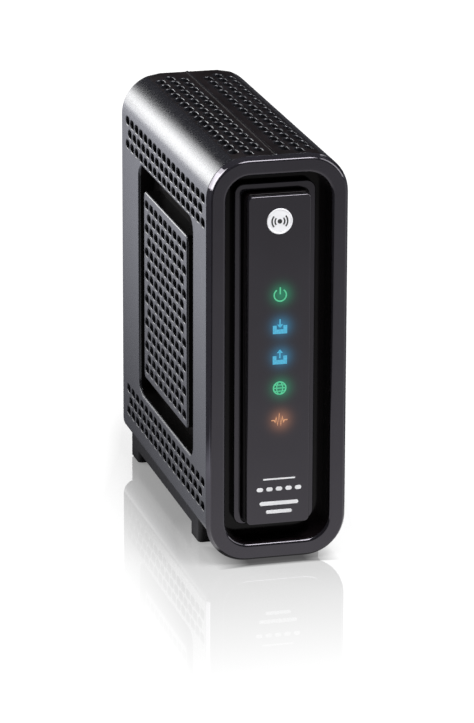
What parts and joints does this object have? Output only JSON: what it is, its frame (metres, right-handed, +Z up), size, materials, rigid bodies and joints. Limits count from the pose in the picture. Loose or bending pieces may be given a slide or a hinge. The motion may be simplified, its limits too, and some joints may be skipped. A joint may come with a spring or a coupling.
{
  "type": "cable modem",
  "caption": "Tall narrow desktop cable modem: slotted shells with a raised grille in each side window, rimmed front with status lights, low base, rear coax, network and power sockets.",
  "frame": {"origin": "on the table, at the middle of the whole footprint, rear coaxial barrel included", "axes": "+Z up; the front with the status lights faces -Y; +X is to the right when the front is viewed"},
  "size_m": [0.0452, 0.124, 0.132],
  "materials": {
    "shell_plastic": "fine satin moulded texture, charcoal black",
    "gloss_black": "high gloss piano black",
    "bezel_gloss": "polished dark grey-black",
    "lens_smoke": "smoked semi-gloss face panel",
    "badge_silver": "fine brushed silver disc",
    "light_green": "clear window lit green",
    "light_blue": "clear window lit blue",
    "light_orange": "clear window lit orange",
    "clear_guide": "clear acrylic",
    "led_white": "ceramic and phosphor",
    "base_plastic": "satin moulded black",
    "rubber_black": "soft matt rubber",
    "screw_steel": "zinc plated",
    "label_film": "blank satin label film",
    "board_green": "solder mask over glass fibre",
    "chip_black": "moulded epoxy",
    "pad_grey": "soft filled silicone",
    "sink_aluminium": "extruded, satin",
    "shield_tin": "tin-plated sheet",
    "cap_sleeve": "shrink sleeve",
    "coil_ferrite": "pressed ferrite",
    "coax_nickel": "nickel-plated brass",
    "insulator_white": "PTFE",
    "contact_gold": "gold-flashed spring bronze",
    "jack_black": "moulded nylon",
    "pin_nickel": "nickel plate",
    "button_tan": "moulded button"
  },
  "bodies": {
    "housing": {"left_shell": "shell_plastic", "right_shell": "shell_plastic", "left_recess_tray": "gloss_black", "right_recess_tray": "gloss_black", "left_grille_panel": "shell_plastic", "right_grille_panel": "shell_plastic", "front_bezel": "bezel_gloss", "lens_frame": "bezel_gloss", "front_lens": "lens_smoke", "badge_disc": "badge_silver", "power_light_window": "light_green", "receive_light_window": "light_blue", "send_light_window": "light_blue", "online_light_window": "light_green", "activity_light_window": "light_orange", "light_guides": "clear_guide", "status_leds": "led_white", "base_stand": "base_plastic", "rubber_feet": "rubber_black", "base_screws": "screw_steel", "rating_label": "label_film", "rear_panel": "shell_plastic", "main_board": "board_green", "board_standoffs": "base_plastic", "board_screws": "screw_steel", "main_chip": "chip_black", "thermal_pad": "pad_grey", "heat_sink": "sink_aluminium", "memory_chip": "chip_black", "flash_chip": "chip_black", "crystal": "shield_tin", "tuner_shield_frame": "shield_tin", "tuner_shield_lid": "shield_tin", "network_transformer": "chip_black", "capacitors": "cap_sleeve", "power_inductors": "coil_ferrite", "coax_body": "coax_nickel", "coax_insulator": "insulator_white", "coax_contact": "contact_gold", "network_jack_housing": "jack_black", "network_jack_shield": "shield_tin", "network_jack_contacts": "contact_gold", "power_jack_housing": "jack_black", "power_jack_pin": "pin_nickel", "power_jack_spring": "contact_gold", "reset_switch_body": "chip_black"},
    "reset_plunger": {"reset_button": "button_tan"}
  },
  "joints": [
    {"name": "reset_press", "type": "slide", "parent": "housing", "child": "reset_plunger", "axis": [0, -1, 0], "range_m": [0, 0.0003], "stiffness_N_per_m": 800, "springref_m": -0.0012}
  ]
}
